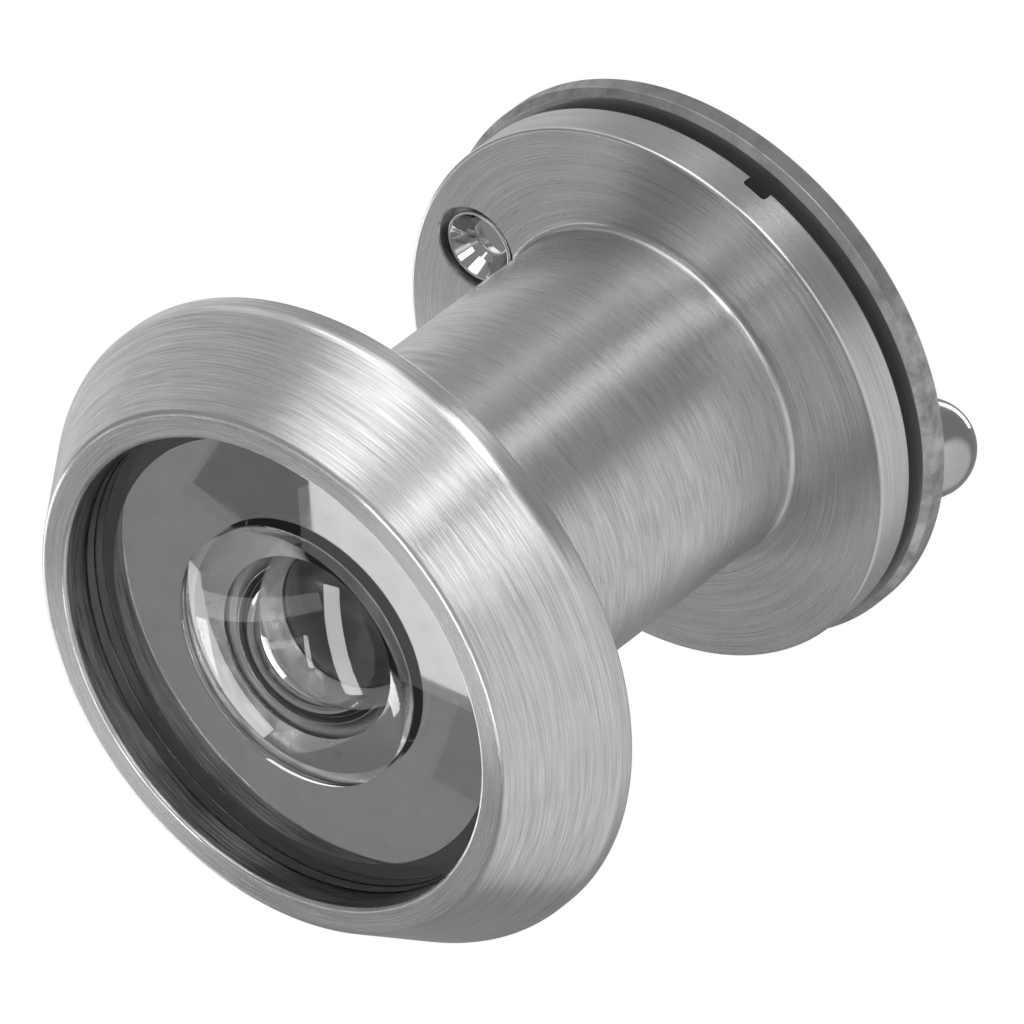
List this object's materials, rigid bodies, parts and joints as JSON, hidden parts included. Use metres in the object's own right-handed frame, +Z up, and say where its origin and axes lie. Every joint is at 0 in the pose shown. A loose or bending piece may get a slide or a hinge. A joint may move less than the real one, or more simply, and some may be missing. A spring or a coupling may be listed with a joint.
{
  "type": "door viewer",
  "caption": "Screw-together door viewer with a bevelled outdoor flange, large glass objective, smooth barrel and an indoor cover disc that swings on a rivet.",
  "frame": {"origin": "on the viewer's axis, halfway between the two flange faces that grip the door", "axes": "+Y runs along the viewer's axis from outdoors to indoors, +Z is up towards the cover's pivot, +X is to the right seen from outdoors"},
  "size_m": [0.045, 0.0536, 0.045],
  "materials": {
    "satin_metal": "circumferentially brushed satin",
    "polished_metal": "polished",
    "black_metal": "matt black anodised",
    "black_rubber": "matt",
    "washer_plastic": "matt",
    "lens_glass": "polished"
  },
  "bodies": {
    "indoor_half": {"inner_housing": "satin_metal", "aperture_disc": "black_metal", "eyepiece_gasket": "black_rubber", "eyepiece_lens": "lens_glass", "eyepiece_ring": "black_metal", "pivot_rivet": "polished_metal", "pivot_washer": "washer_plastic"},
    "cover": {"cover_disc": "satin_metal", "knob": "polished_metal"},
    "sleeve": {"baffle_sleeve": "black_metal"},
    "outdoor_half": {"outer_housing": "satin_metal", "objective_gasket": "black_rubber", "objective_lens": "lens_glass", "cone_spacer": "polished_metal", "second_lens": "lens_glass", "second_spacer": "black_metal", "third_lens": "lens_glass", "tube_ring": "black_metal"}
  },
  "joints": [
    {"name": "cover_swing", "type": "hinge", "parent": "indoor_half", "child": "cover", "pos_m": [0, 0.01785, 0.0147], "axis": [0, 1, 0], "continuous": true},
    {"name": "adjust_slide", "type": "slide", "parent": "indoor_half", "child": "sleeve", "axis": [0, -1, 0], "range_m": [0, 0.02]},
    {"name": "adjust_turn", "type": "hinge", "parent": "sleeve", "child": "outdoor_half", "pos_m": [0, 0, 0], "axis": [0, -1, 0], "range_deg": [0, 7200]}
  ],
  "couplings": [
    {"joint": "adjust_slide", "follows": "adjust_turn", "m_per_rad": 0.00015915}
  ]
}
